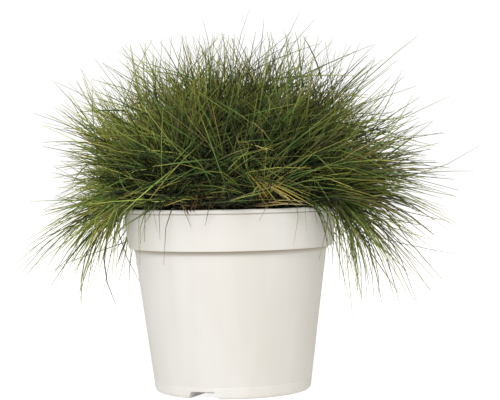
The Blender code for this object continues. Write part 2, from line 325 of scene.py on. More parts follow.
# Moist peat: nearly black in the hollows, brown on the crumbs, quite matt.
peat, tree, shader = new_material("moist_peat", 0.95, Specular_IOR_Level=0.25)
PEAT_GRAIN = 0.0012
place = add(tree, "ShaderNodeTexCoord").outputs["Object"]
fine = add(tree, "ShaderNodeTexNoise", {"Vector": place, "Scale": 1 / PEAT_GRAIN, "Detail": 4.0})
tone = add(tree, "ShaderNodeMapRange", {"Value": fine.outputs[0], "From Min": 0.35, "From Max": 0.7})
brown = add(tree, "ShaderNodeMix", {0: tone.outputs[0], 6: linear(PEAT_DARK), 7: linear(PEAT_LIGHT)}, data_type="RGBA")
tree.links.new(brown.outputs[2], shader.inputs["Base Color"])
relief = add(tree, "ShaderNodeBump", {"Height": fine.outputs[0], "Strength": 0.7, "Distance": 0.0006})
tree.links.new(relief.outputs[0], shader.inputs["Normal"])
medium.data.materials.append(peat)
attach(medium, "root")
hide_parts("growing_medium")

# Composted bark: small flat chips, redder and paler than the peat, matt with fine fibres.
bark, tree, shader = new_material("composted_bark", 0.9, Specular_IOR_Level=0.3)
BARK_PATCH = 0.0040
place = add(tree, "ShaderNodeTexCoord").outputs["Object"]
patches = add(tree, "ShaderNodeTexNoise", {"Vector": place, "Scale": 1 / BARK_PATCH, "Detail": 3.0})
tone = add(tree, "ShaderNodeMapRange", {"Value": patches.outputs[0], "From Min": 0.4, "From Max": 0.68})
brown = add(tree, "ShaderNodeMix", {0: tone.outputs[0], 6: linear(PEAT_DARK), 7: linear(BARK)}, data_type="RGBA")
tree.links.new(brown.outputs[2], shader.inputs["Base Color"])


def tree_with(name, sizes):
    """A Geometry Nodes tree with its named inputs, as {name: (socket type, value)}, and one output."""
    made = bpy.data.node_groups.new(name, "GeometryNodeTree")
    made.interface.new_socket("Geometry", in_out="INPUT", socket_type="NodeSocketGeometry")
    for label, (kind, value) in sizes.items():
        socket = made.interface.new_socket(label, in_out="INPUT", socket_type=kind)
        if value is not None:
            socket.default_value = value
    made.interface.new_socket("Geometry", in_out="OUTPUT", socket_type="NodeSocketGeometry")
    return made, add(made, "NodeGroupInput").outputs, add(made, "NodeGroupOutput")


def grown(name, base, tree, values):
    """The plain mesh that a tree makes from a base object, as a new object. The base is removed."""
    step = base.modifiers.new("grow", "NODES")
    step.node_group = tree
    for item in tree.interface.items_tree:
        if item.in_out == "INPUT" and item.name in values:
            step[item.identifier] = values[item.name]
    graph = bpy.context.evaluated_depsgraph_get()
    mesh = bpy.data.meshes.new_from_object(base.evaluated_get(graph), depsgraph=graph)
    bpy.data.objects.remove(base)
    made = bpy.data.objects.new(name, mesh)
    mesh.name = name
    bpy.context.scene.collection.objects.link(made)
    return made


crumb_tree, given, out = tree_with(
    "scattered_crumbs",
    {
        "Density": ("NodeSocketFloat", CRUMB_DENSITY),
        "Smallest": ("NodeSocketFloat", CRUMB_SIZE[0]),
        "Largest": ("NodeSocketFloat", CRUMB_SIZE[1]),
        "Seed": ("NodeSocketInt", 4),
        "Material": ("NodeSocketMaterial", None),
    },
)
upward = add(crumb_tree, "ShaderNodeSeparateXYZ", {0: add(crumb_tree, "GeometryNodeInputNormal").outputs[0]})
on_top = add(crumb_tree, "ShaderNodeMath", {0: upward.outputs[2], 1: 0.5}, operation="GREATER_THAN")
scatter = add(
    crumb_tree,
    "GeometryNodeDistributePointsOnFaces",
    {"Mesh": given["Geometry"], "Selection": on_top.outputs[0], "Density": given["Density"], "Seed": given["Seed"]},
)
crumb = add(crumb_tree, "GeometryNodeMeshIcoSphere", {"Radius": 0.5, "Subdivisions": 1})
size = add(
    crumb_tree,
    "FunctionNodeRandomValue",
    {2: given["Smallest"], 3: given["Largest"], "Seed": given["Seed"]},
    data_type="FLOAT",
)
flatness = add(
    crumb_tree,
    "FunctionNodeRandomValue",
    {0: (0.6, 0.6, 0.25), 1: (2.2, 1.1, 0.7), "Seed": given["Seed"]},
    data_type="FLOAT_VECTOR",
)
scale = add(
    crumb_tree, "ShaderNodeVectorMath", {0: flatness.outputs[0], "Scale": size.outputs[1]}, operation="SCALE"
)
turn = add(
    crumb_tree,
    "FunctionNodeRandomValue",
    {0: (-0.5, -0.5, 0), 1: (0.5, 0.5, 2 * math.pi), "Seed": given["Seed"]},
    data_type="FLOAT_VECTOR",
)
placed = add(
    crumb_tree,
    "GeometryNodeInstanceOnPoints",
    {"Points": scatter.outputs[0], "Instance": crumb.outputs[0], "Rotation": turn.outputs[0], "Scale": scale.outputs[0]},
)
real = add(crumb_tree, "GeometryNodeRealizeInstances", {0: placed.outputs[0]})
finished = add(crumb_tree, "GeometryNodeSetMaterial", {"Geometry": real.outputs[0], "Material": given["Material"]})
crumb_tree.links.new(finished.outputs[0], out.inputs[0])

ground = bpy.data.objects.new("crumb_ground", medium.data.copy())
bpy.context.scene.collection.objects.link(ground)
crumbs = grown("bark_crumbs", ground, crumb_tree, {"Material": bark})
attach(crumbs, "root")


# Needle leaves. Each shoot is a sheathed stem from the crown with a sheaf of stiff leaves, rolled
# into needles 0.5 to 0.8 mm thick. The sheaves stand up in the middle of the cushion, cross each
# other further out, and hang over the rim at both sides.
CROWN_RADIUS = 0.0440
CROWN_SPREAD = 0.8
CROWN_HEIGHT = MEDIUM_TOP + FIT_GAP
CAP_CENTRE = Vector((0, 0, 0.1060))
SIDE_LOWEST = math.radians(109)
BACK_LOWEST = math.radians(104)
FRONT_LOWEST = math.radians(56)
LOWEST_EVER = math.radians(118)
HANG_FROM = math.radians(99)
HANG_THINNED = 0.58
# Painted light: hanging sheaves take the lighter copy of the green and never the darker one, though they hang in the
# cushion's shade.
HANG_TONES = ("fresh", "bright", "fresh", "olive")
OUTER_LEAN = math.radians(33)
BEND_AT = 0.5
LEAF_THICKNESS = (0.00058, 0.00092)
LEAF_END = 0.26
STEM_THICKNESS = (0.0009, 0.0013)
STEM_END = 0.6
LEAF_POINTS = 5
LEAF_SIDES = 3
WAVINESS = 0.00025
RIM_CLEARANCE = 0.0008
RIM_REGION = 0.0035
RIM_TESTS = 16
RAISE_STEP = 2.2
RAISE_TRIES = 5
BARE_WIDTH = 0.0720
BARE_SIDES = 0.0230
BARE_SLOPE = 0.65
BARE_TESTS = (0.6, 0.8, 1.0)
TONE_COLUMNS = 64
BAKE_MARGIN = 0.02

# How far the leaves reach from the cap's centre, in mm, by the angle from straight up in degrees
RIGHT_OUTLINE = ((0, 83), (30, 97), (50, 117), (65, 110), (80, 120), (95, 116), (112, 127), (128, 112), (150, 60))
BACK_OUTLINE = ((0, 83), (45, 100), (90, 108), (115, 98), (150, 60))
LEFT_OUTLINE = ((0, 83), (30, 94), (50, 110), (65, 107), (86, 88), (98, 104), (112, 130), (130, 92), (150, 60))
FRONT_OUTLINE = ((0, 83), (45, 97), (90, 100), (150, 60))

# Tones of a leaf: how many of the columns it takes, and its colour at the foot, middle and tip. Every foot is darker
# than its middle: painted shade, low in the cushion.
LEAF_TONES = {
    "fresh": (16, "#303E24", "#607E3E", "#A29E4C"),
    # Painted light: a lighter copy of the fresh green, for leaves where the light falls, most of them at the cushion's
    # left.
    "bright": (6, "#64763C", "#A6BC5E", "#C2BC62"),
    # Painted shade: a darker copy of the fresh green, for leaves in the shade inside the cushion and at its front.
    "deep": (12, "#1C241A", "#303E26", "#787640"),
    "yellow": (8, "#56602E", "#9CA04E", "#C2B65E"),
    "olive": (6, "#3A3526", "#706A45", "#A0956A"),
    "straw": (4, "#A68E56", "#D0BA7C", "#DCCC98"),
    "aged": (4, "#9A8A3E", "#D2BE5C", "#E0D084"),
    "sheath": (3, "#54432A", "#7E794C", "#64723E"),
    "rust": (2, "#7A5A3C", "#A8845A", "#B09870"),
    # Painted shade: a near-black green for the old leaves inside the cushion and some stubs, standing for the deep
    # shade among them.
    "painted_shade_thatch": (3, "#171810", "#272B1E", "#3C3E2C"),
}


def around(azimuth, right, back, left, front):
    """A value that passes smoothly through four given ones, at +X, +Y, -X and -Y."""
    x, y = math.cos(azimuth), math.sin(azimuth)
    return x * x * (right if x > 0 else left) + y * y * (back if y > 0 else front)


def towards(fall, azimuth):
    """A unit vector, by its angle from straight up and the way it points."""
    return Vector((math.sin(fall) * math.cos(azimuth), math.sin(fall) * math.sin(azimuth), math.cos(fall)))


def between(rows, place):
    """A value read off a list of (place, value) rows, along straight lines between them."""
    for (start, low), (end, high) in zip(rows, rows[1:]):
        if place <= end:
            return low + (high - low) * (place - start) / (end - start)
    return rows[-1][1]


def outline_reach(fall, azimuth):
    """How far from the cap's centre the longest leaves reach, in a direction."""
    outlines = (RIGHT_OUTLINE, BACK_OUTLINE, LEFT_OUTLINE, FRONT_OUTLINE)
    return around(azimuth, *(between(outline, math.degrees(fall)) for outline in outlines)) / 1000


def crown_point(share, azimuth):
    """A shoot's root: share is 0 in the cushion's middle and 1 at its skirt."""
    radius = CROWN_RADIUS * share**CROWN_SPREAD
    return Vector((radius * math.cos(azimuth), radius * math.sin(azimuth), CROWN_HEIGHT))


def on_arch(root, bend, tip, along):
    """A point on the smooth arch from a root, by way of a bend, to a tip."""
    return root.lerp(bend, along).lerp(bend.lerp(tip, along), along)


def tone_column(chance, name):
    """A random column of the leaf colours that belongs to the named tone."""
    first = 0
    for tone, (columns, *_) in LEAF_TONES.items():
        if tone == name:
            return first + chance.randrange(columns)
        first += columns


def clear_of_rim(root, bend, tip):
    """The bend of the same arch, raised until the arch passes over the pot's rim, or None."""
    outside = RIM_RADIUS + RIM_CLEARANCE
    if tip.z < POT_HEIGHT and math.hypot(tip.x, tip.y) < outside and tip.z < CROWN_HEIGHT:
        return None
    for _ in range(RAISE_TRIES):
        lowest = 0
        for step in range(1, RIM_TESTS):
            place = on_arch(root, bend, tip, step / RIM_TESTS)
            radius = math.hypot(place.x, place.y)
            if outside - RIM_REGION < radius < outside:
                lowest = max(lowest, POT_HEIGHT + RIM_CLEARANCE - place.z)
            elif radius < outside:
                lowest = max(lowest, CROWN_HEIGHT - RIM_CLEARANCE - place.z)
        if lowest <= 0:
            return bend
        bend = bend + Vector((0, 0, lowest * RAISE_STEP))
    return None


def hides_collar(place):
    """Whether a place is in front of the part of the collar that is left bare."""
    aside = abs(place.x) - BARE_WIDTH / 2
    if place.y > 0 or math.hypot(place.x, place.y) < RIM_RADIUS or aside > BARE_SIDES:
        return False
    return place.z < POT_HEIGHT - BARE_SLOPE * max(aside, 0)


class LeafRows:
    """The leaves of one piece: each is a curve from its root, by way of a bend, to its tip."""

    def __init__(self):
        self.roots, self.bends, self.tips = [], [], []
        self.thicknesses, self.ends, self.tones = [], [], []

    def grow(self, root, bend, tip, thickness, end, tone, may_hang=False):
        """Adds a leaf, unless the pot's rim is in its way or it would hide the bare collar."""
        bend = clear_of_rim(root, bend, tip)
        if bend is None:
            return
        if not may_hang and any(hides_collar(on_arch(root, bend, tip, along)) for along in BARE_TESTS):
            return
        self.roots.append(root)
        self.bends.append(bend - root)
        self.tips.append(tip - root)
        self.thicknesses.append(thickness)
        self.ends.append(end)
        self.tones.append(tone)

    def base_object(self):
        """One vertex at each leaf's root, with the leaf's other facts as attributes."""
        mesh = bpy.data.meshes.new("leaf_roots")
        mesh.from_pydata([tuple(root) for root in self.roots], [], [])
        for name, rows in (("root", self.roots), ("bend", self.bends), ("tip", self.tips)):
            held = mesh.attributes.new(name, "FLOAT_VECTOR", "POINT")
            held.data.foreach_set("vector", [part for row in rows for part in row])
        for name, rows in (("thickness", self.thicknesses), ("end", self.ends), ("tone", self.tones)):
            held = mesh.attributes.new(name, "FLOAT", "POINT")
            held.data.foreach_set("value", rows)
        held = mesh.attributes.new("leaf", "INT", "POINT")
        held.data.foreach_set("value", range(len(self.roots)))
        made = bpy.data.objects.new("leaf_roots", mesh)
        bpy.context.scene.collection.objects.link(made)
        return made


leaf_tree, given, out = tree_with(
    "needle_leaves",
    {
        "Points along a leaf": ("NodeSocketInt", LEAF_POINTS),
        "Sides": ("NodeSocketInt", LEAF_SIDES),
        "Waviness": ("NodeSocketFloat", WAVINESS),
        "Seed": ("NodeSocketInt", 9),
        "Material": ("NodeSocketMaterial", None),
    },
)


def held(name, kind="FLOAT"):
    """The value that an attribute holds, read inside the leaf tree."""
    return add(leaf_tree, "GeometryNodeInputNamedAttribute", {"Name": name}, data_type=kind).outputs[0]


def sum_of(operation, *parts, **settings):
    """The result of one maths node in the leaf tree."""
    feeds = dict(enumerate(parts))
    return add(leaf_tree, "ShaderNodeMath", feeds, operation=operation, **settings).outputs[0]


def vector_of(operation, *parts, **more):
    """The result of one vector maths node in the leaf tree."""
    feeds = dict(enumerate(parts)) | more
    return add(leaf_tree, "ShaderNodeVectorMath", feeds, operation=operation).outputs[0]


line = add(leaf_tree, "GeometryNodeCurvePrimitiveLine", {"End": (0, 0, 1)})
points = add(leaf_tree, "GeometryNodeResampleCurve", {"Curve": line.outputs[0], "Count": given["Points along a leaf"]})
placed = add(
    leaf_tree, "GeometryNodeInstanceOnPoints", {"Points": given["Geometry"], "Instance": points.outputs[0]}
)
real = add(leaf_tree, "GeometryNodeRealizeInstances", {0: placed.outputs[0]})
along = add(leaf_tree, "GeometryNodeSplineParameter").outputs[0]
kept = add(
    leaf_tree, "GeometryNodeStoreNamedAttribute", {"Geometry": real.outputs[0], "Name": "along", "Value": along}
)
left_over = sum_of("SUBTRACT", 1.0, along)
bend_share = sum_of("MULTIPLY", sum_of("MULTIPLY", along, left_over), 2.0)
tip_share = sum_of("MULTIPLY", along, along)
aside = add(
    leaf_tree,
    "FunctionNodeRandomValue",
    {0: (-1, -1, -1), 1: (1, 1, 1), "ID": held("leaf", "INT"), "Seed": given["Seed"]},
    data_type="FLOAT_VECTOR",
)
wave = sum_of("MULTIPLY", sum_of("SINE", sum_of("MULTIPLY", along, 7.5)), given["Waviness"])
centre = vector_of(
    "ADD",
    vector_of(
        "ADD", held("root", "FLOAT_VECTOR"), vector_of("SCALE", held("bend", "FLOAT_VECTOR"), Scale=bend_share)
    ),
    vector_of(
        "ADD",
        vector_of("SCALE", held("tip", "FLOAT_VECTOR"), Scale=tip_share),
        vector_of("SCALE", aside.outputs[0], Scale=wave),
    ),
)
bent = add(leaf_tree, "GeometryNodeSetPosition", {"Geometry": kept.outputs[0], "Position": centre})
taper = sum_of("POWER", along, 2.4)
width = sum_of("SUBTRACT", 1.0, sum_of("MULTIPLY", taper, sum_of("SUBTRACT", 1.0, held("end"))))
half = sum_of("MULTIPLY", sum_of("MULTIPLY", width, held("thickness")), 0.5)
ring = add(leaf_tree, "GeometryNodeCurvePrimitiveCircle", {"Resolution": given["Sides"], "Radius": 1.0})
turn_share = sum_of("DIVIDE", add(leaf_tree, "GeometryNodeInputIndex").outputs[0], LEAF_SIDES - 1)
ring_kept = add(
    leaf_tree, "GeometryNodeStoreNamedAttribute", {"Geometry": ring.outputs[0], "Name": "side", "Value": turn_share}
)
swept = add(
    leaf_tree,
    "GeometryNodeCurveToMesh",
    {"Curve": bent.outputs[0], "Profile Curve": ring_kept.outputs[0], "Scale": half, "Fill Caps": True},
)
side_share = sum_of("ADD", sum_of("MULTIPLY", held("side"), 0.7), 0.15)
column = sum_of("DIVIDE", sum_of("ADD", held("tone"), side_share), TONE_COLUMNS)
ridge = sum_of("SUBTRACT", 1.0, sum_of("ABSOLUTE", sum_of("SUBTRACT", sum_of("MULTIPLY", held("side"), 2.0), 1.0)))
row = sum_of(
    "ADD",
    sum_of("ADD", sum_of("MULTIPLY", held("along"), 1 - 3 * BAKE_MARGIN), BAKE_MARGIN),
    sum_of("MULTIPLY", ridge, BAKE_MARGIN),
)
spot = add(leaf_tree, "ShaderNodeCombineXYZ", {0: column, 1: row})
mapped = add(
    leaf_tree,
    "GeometryNodeStoreNamedAttribute",
    {"Geometry": swept.outputs[0], "Name": "OFBake", "Value": spot.outputs[0]},
    data_type="FLOAT2",
    domain="CORNER",
)
smooth = add(leaf_tree, "GeometryNodeSetShadeSmooth", {"Geometry": mapped.outputs[0]})
finished = add(leaf_tree, "GeometryNodeSetMaterial", {"Geometry": smooth.outputs[0], "Material": given["Material"]})
leaf_tree.links.new(finished.outputs[0], out.inputs[0])

# Leaf skin: waxy and satin, so that a blade turned to the light shows a pale streak. Each leaf takes
# one narrow column of the map, and its colour changes from foot to tip along it, with painted shade darkening its
# foot.
leaf_skin, tree, shader = new_material("waxy_needle_leaf", 0.5, IOR=1.45, Specular_IOR_Level=0.16)
uv = add(tree, "ShaderNodeUVMap", uv_map="OFBake")
parts = add(tree, "ShaderNodeSeparateXYZ", {0: uv.outputs[0]})
ramps = []
for stage in (1, 2, 3):
    ramp = add(tree, "ShaderNodeValToRGB", {0: parts.outputs[0]})
    ramp.color_ramp.interpolation = "CONSTANT"
    first = 0
    for order, (columns, *colours) in enumerate(LEAF_TONES.values()):
        stops = ramp.color_ramp.elements
        stop = stops[order] if order < 2 else stops.new(first / TONE_COLUMNS)
        stop.position = first / TONE_COLUMNS
        stop.color = linear(colours[stage - 1])
        first += columns
    ramps.append(ramp.outputs[0])
# Painted shade: the colour runs from the darker foot colour up to the middle colour along the leaf's lower half.
up = add(tree, "ShaderNodeMapRange", {"Value": parts.outputs[1], "From Min": 0.08, "From Max": 0.58})
lower = add(tree, "ShaderNodeMix", {0: up.outputs[0], 6: ramps[0], 7: ramps[1]}, data_type="RGBA")
end = add(tree, "ShaderNodeMapRange", {"Value": parts.outputs[1], "From Min": 0.64, "From Max": 1.0})
whole = add(tree, "ShaderNodeMix", {0: end.outputs[0], 6: lower.outputs[2], 7: ramps[2]}, data_type="RGBA")
numbered = add(tree, "ShaderNodeMath", {0: parts.outputs[0], 1: TONE_COLUMNS}, operation="MULTIPLY")
numbered = add(tree, "ShaderNodeMath", {0: numbered.outputs[0]}, operation="FLOOR")
own = add(tree, "ShaderNodeTexWhiteNoise", {"W": numbered.outputs[0]}, noise_dimensions="1D")
value = add(tree, "ShaderNodeMapRange", {"Value": own.outputs[0], "To Min": 0.6, "To Max": 1.4})
toned = add(tree, "ShaderNodeHueSaturation", {"Value": value.outputs[0], "Color": whole.outputs[2]})
tree.links.new(toned.outputs[0], shader.inputs["Base Color"])

# How many shoots stand in one tuft of each ring, and the share of the crown between its edges
TUFT_RINGS = (
    ("centre", 1, 0.0, 0.13, 30),
    ("inner", 6, 0.13, 0.38, 30),
    ("middle", 10, 0.38, 0.68, 50),
    ("outer", 12, 0.68, 1.0, 74),
)
FRONT_SHARE = 0.24
LEFT_SHARE = 0.92
RIGHT_SHARE = 0.92
FRONT_SPLAY = 2.2
CLUMPS_IN_TUFT = 4
CLUMP_REACH = (0.82, 1.08)
CLUMP_WIDTH = 0.07
CLUMP_TURN = 0.40
CLUMP_TONE = 0.6
# Painted shade: how much more often the darker copy of the green is chosen towards the middle of the crown.
SHADE_TONE_INSIDE = 2.0
SHEAF_SCATTER = math.radians(19)
SHEAF_REACH = (0.58, 1.10, 0.86)
LEAVES_ON_SHOOT = (6, 10)
LEAF_LEAVES_AT = (0.12, 0.66)
LEAF_LENGTH = (0.55, 1.14, 0.92)
LEAF_SPREAD = 0.46
LEAF_TURN = 0.45
LEAF_STIFFNESS = 0.35
STRAY_SHARE = 0.07
STRAY_LENGTH = 1.32
LONGEST = 1.09
THATCH_IN_TUFT = 90
THATCH_LENGTH = (0.018, 0.056)
THATCH_SCATTER = 0.5
LIVE_TONES = ("fresh", "bright", "deep", "yellow", "olive", "straw")
TONE_CHANCES = {
    "fresh": (66, 10, 14, 8, 2, 0),
    "bright": (20, 68, 0, 12, 0, 0),
    "deep": (18, 2, 74, 1, 5, 0),
    "yellow": (34, 8, 6, 42, 10, 0),
    "olive": (14, 2, 22, 12, 48, 2),
}


def any_way(chance):
    return Vector((chance.gauss(0, 1), chance.gauss(0, 1), chance.gauss(0, 1)))


def beside(chance, line):
    """A random vector square to a line, as long as the line times a share near LEAF_SPREAD."""
    return line.cross(any_way(chance)).normalized() * abs(chance.gauss(0, LEAF_SPREAD)) * line.length


def within_outline(tip):
    """The same tip, drawn in where it would stand out too far from the cushion."""
    out = tip - CAP_CENTRE
    fall = math.acos(max(-1, min(out.z / out.length, 1)))
    furthest = LONGEST * outline_reach(fall, math.atan2(out.y, out.x))
    return CAP_CENTRE + out * min(1, furthest / out.length)


def sheaf_tone(chance, share, azimuth):
    """The tone of most leaves in a sheaf: the painted-light green most often at the left, where the light falls, and
    the painted-shade green most often at the front and inside, where the cushion is in shade.
    """
    deep = max(around(azimuth, 56, 40, -90, 250), 0) * (SHADE_TONE_INSIDE - share)
    others = (around(azimuth, 7, 18, 150, 6), deep, around(azimuth, 18, 18, 44, 10), around(azimuth, 24, 14, 7, 9))
    return chance.choices(LIVE_TONES[:5], (54, *others))[0]


def sheaf(rows, chance, share, azimuth, vigour, clump_tone):
    """One shoot: its stem, and the leaves that leave it one above another and fan out at the end."""
    lowest = around(azimuth, SIDE_LOWEST, BACK_LOWEST, SIDE_LOWEST, FRONT_LOWEST)
    fall = min(abs(lowest * share + chance.gauss(0, SHEAF_SCATTER)), LOWEST_EVER)
    if fall > HANG_FROM and chance.random() < HANG_THINNED:
        return
    splay = SHEAF_SCATTER * around(azimuth, 1, 1, 1, FRONT_SPLAY)
    heading = azimuth + chance.gauss(0, splay) / max(math.sin(fall), 0.3)
    root = crown_point(share, azimuth)
    reach = outline_reach(fall, heading) * vigour * chance.triangular(*SHEAF_REACH)
    tip = CAP_CENTRE + towards(fall, heading) * reach
    bend = root + towards(OUTER_LEAN * share, azimuth) * BEND_AT * (tip - root).length
    bend = clear_of_rim(root, bend, tip)
    if bend is None:
        return
    stem_end = LEAF_LEAVES_AT[1] * chance.uniform(0.6, 1)
    head = on_arch(root, bend, tip, stem_end)
    turn_off = root.lerp(bend, stem_end)
    rows.grow(root, turn_off, head, chance.uniform(*STEM_THICKNESS), STEM_END, tone_column(chance, "sheath"))
    main_tone = clump_tone if chance.random() < CLUMP_TONE else sheaf_tone(chance, share, azimuth)
    if fall > HANG_FROM:
        main_tone = chance.choice(HANG_TONES)
    for _ in range(chance.randint(*LEAVES_ON_SHOOT)):
        node = chance.uniform(LEAF_LEAVES_AT[0], stem_end)
        start = on_arch(root, bend, tip, node)
        ahead = (on_arch(root, bend, tip, node + 0.05) - start).normalized()
        line = (tip - start) * chance.triangular(*LEAF_LENGTH)
        if chance.random() < STRAY_SHARE:
            line *= STRAY_LENGTH
        end = within_outline(start + line + beside(chance, line))
        ahead = ahead.lerp((end - start).normalized(), LEAF_STIFFNESS)
        turn_off = start + ahead * LEAF_TURN * (end - start).length
        tone = chance.choices(LIVE_TONES, TONE_CHANCES[main_tone])[0]
        rows.grow(start, turn_off, end, chance.uniform(*LEAF_THICKNESS), LEAF_END, tone_column(chance, tone))


def thatch_leaf(rows, chance, share, azimuth):
    """One old leaf, low in the cushion, that keeps the light out of it; its near-black colour is painted shade."""
    root = crown_point(share, azimuth)
    fall = OUTER_LEAN * share + chance.gauss(0, THATCH_SCATTER)
    tip = root + towards(fall, azimuth + chance.gauss(0, THATCH_SCATTER)) * chance.uniform(*THATCH_LENGTH)
    tip.z = max(tip.z, POT_HEIGHT + THATCH_LENGTH[0] / 4)
    bend = root.lerp(tip, 0.5) + beside(chance, tip - root)
    bend.z = max(bend.z, CROWN_HEIGHT)
    rows.grow(root, bend, tip, chance.uniform(*LEAF_THICKNESS), STEM_END, tone_column(chance, "painted_shade_thatch"))


def tuft(rows, ring, index, count, inner, outer, shoots):
    """One tuft: a few clumps of shoots, each clump with its own lean and vigour, on a bed of thatch."""
    chance = random.Random(f"tuft {ring} {index}")
    half_turn = math.pi / count
    azimuth = 2 * half_turn * index
    clumps = []
    for _ in range(CLUMPS_IN_TUFT):
        turn = azimuth + half_turn * chance.uniform(-1, 1)
        share = chance.uniform(inner, outer)
        clumps.append((share, turn, chance.uniform(*CLUMP_REACH), sheaf_tone(chance, share, turn)))
    if ring != "centre":
        shoots = round(shoots * around(azimuth, RIGHT_SHARE, 1, LEFT_SHARE, FRONT_SHARE))
    for _ in range(shoots):
        share, turn, vigour, tone = chance.choice(clumps)
        share = min(max(share + chance.gauss(0, CLUMP_WIDTH), 0.0), 1.0)
        sheaf(rows, chance, share, turn + chance.gauss(0, CLUMP_TURN) * half_turn, vigour, tone)
    for _ in range(THATCH_IN_TUFT):
        turn = azimuth + half_turn * chance.uniform(-1, 1)
        thatch_leaf(rows, chance, chance.uniform(inner, outer), turn)


def leaf_piece(name, rows, nodes):
    made = grown(name, rows.base_object(), leaf_tree, {"Material": leaf_skin})
    for extra in ("root", "bend", "tip", "thickness", "end", "tone", "leaf", "along", "side"):
        if extra in made.data.attributes:
            made.data.attributes.remove(made.data.attributes[extra])
    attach(made, "root")
    if nodes:
        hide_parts(*nodes)
    return made


PIECES = (
    ("leaves_centre", "centre", (0,)),
    ("leaves_inner", "inner", range(6)),
    ("leaves_middle_back", "middle", range(0, 5)),
    ("leaves_middle_front", "middle", range(5, 10)),
    ("leaves_outer_right", "outer", (10, 11, 0, 1)),
    ("leaves_outer_back", "outer", (2, 3, 4)),
    ("leaves_outer_left", "outer", (5, 6, 7)),
    ("leaves_outer_front", "outer", (8, 9)),
)
for piece_name, ring_name, indexes in PIECES:
    ring = next(row for row in TUFT_RINGS if row[0] == ring_name)
    rows = LeafRows()
    for index in indexes:
        tuft(rows, ring_name, index, *ring[1:])
    if ring_name == "centre":
        stood_for = ["tuft_centre"]
    else:
        stood_for = [f"tuft_{ring_name}_{index + 1}" for index in indexes]
    leaf_piece(piece_name, rows, stood_for)


# Crossing leaves. Long single leaves that have slipped out of their sheaf and lie across the others
# on the outside of the cushion, most of them at the front, where the shoots stand thinnest.
CROSSING_LEAVES = 160
CROSSING_DEPTH = (0.45, 0.80)
CROSSING_LENGTH = (0.030, 0.070)
CROSSING_OUTWARD = (0.35, 1.0)
FRONT_CROSSINGS = (
    ((-5, -46, 146), (-24, -74, 132), (-41, -80, 110)),
    ((-13, -50, 118), (-30, -76, 138), (-46, -78, 161)),
)

# Tips of the strays that stand out of the cushion, in mm to the right and above the floor
STRAY_TIPS = (
    *((-112, 158), (-100, 176), (-58, 192), (-26, 200), (-13, 207), (13, 212), (21, 208), (41, 211), (49, 206)),
    *((83, 192), (104, 195), (125, 163), (140, 134), (139, 120), (131, 73), (109, 59), (-109, 65), (-113, 108)),
)
STRAY_THICKNESS = (0.00045, 0.00065)
STRAY_DEPTH = 12
STRAY_ROOT = (0.40, 0.55)
STRAY_BOW = 0.25

chance = random.Random("crossing leaves")
rows = LeafRows()
for _ in range(CROSSING_LEAVES):
    azimuth = math.radians(-90 + chance.gauss(0, 55))
    outward = towards(math.radians(chance.uniform(25, 90)), azimuth)
    start = CAP_CENTRE + outward * outline_reach(math.pi / 3, azimuth) * chance.uniform(*CROSSING_DEPTH)
    start.z = max(start.z, POT_HEIGHT + 4 * RIM_CLEARANCE)
    across = outward.cross(any_way(chance)).normalized()
    line = (across + outward * chance.uniform(*CROSSING_OUTWARD)).normalized() * chance.uniform(*CROSSING_LENGTH)
    end = within_outline(start + line)
    turn_off = start.lerp(end, 0.5) + outward * line.length * 0.06
    tone = chance.choices(LIVE_TONES, (56, 14, 14, 11, 4, 1))[0]
    rows.grow(start, turn_off, end, chance.uniform(*LEAF_THICKNESS), LEAF_END, tone_column(chance, tone))
for corners in FRONT_CROSSINGS:
    root, bend, tip = (Vector(corner) / 1000 for corner in corners)
    rows.grow(root, bend, tip, LEAF_THICKNESS[1], LEAF_END, tone_column(chance, "yellow"))
for across, height in STRAY_TIPS:
    tip = Vector((across, chance.gauss(0, STRAY_DEPTH), height)) / 1000
    root = CAP_CENTRE.lerp(tip, chance.uniform(*STRAY_ROOT))
    bend = root.lerp(tip, 0.5) + beside(chance, tip - root) * STRAY_BOW
    tone = chance.choice(("fresh", "olive", "yellow"))
    rows.grow(root, bend, tip, chance.uniform(*STRAY_THICKNESS), LEAF_END, tone_column(chance, tone), may_hang=True)
leaf_piece("crossing_leaves", rows, ())


# Hanging leaves. Limp leaves at the edge of the crown bend over the rim and hang in front of the
# collar, and a thin fringe of them hangs from the skirt at both sides.
# Each row: azimuth at the rim, azimuth of the tip, height and distance from the axis of the tip
HANGING_LEAVES = (
    (-119, -125, 74, 62.5),
    (-118, -109, 94, 62.5),
    (-125, -127, 87, 62.5),
    (-97, -102, 95, 62.5),
    (-65, -76, 97, 62.5),
    (-137, -141, 73, 63.0),
    (-133, -136, 86, 64.0),
    (-150, -152, 80, 66.0),
    (-45, -22, 50, 70.0),
    (-24, -42, 74, 63.5),
    (-38, -30, 88, 64.0),
    (-54, -31, 86, 64.0),
    (-51, -42, 94, 63.0),
    (-45, -33, 73, 64.0),
    (-50, -35, 84, 64.0),
    (-42, -30, 82, 65.0),
    (-36, -24, 90, 66.0),
)
HANGING_ROOT_RADIUS = 0.0400
HANGING_BEND_RADIUS = 0.0700
HANGING_BEND_HEIGHT = 0.1230
# Each row: how many leaves, their azimuth, its scatter, and the heights and radii of their tips
FRINGES = (
    (20, 0, 18, (0.048, 0.080), (0.070, 0.108)),
    (7, 180, 18, (0.048, 0.080), (0.070, 0.100)),
    (34, -150, 9, (0.078, 0.098), (0.068, 0.092)),
    (16, -40, 9, (0.074, 0.098), (0.063, 0.082)),
)
FRINGE_THICKNESS = (0.00042, 0.00066)
HANGING_THICKNESS = (0.00064, 0.00084)


def around_pot(degrees, radius, height):
    turn = math.radians(degrees)
    return Vector((radius * math.cos(turn), radius * math.sin(turn), height))


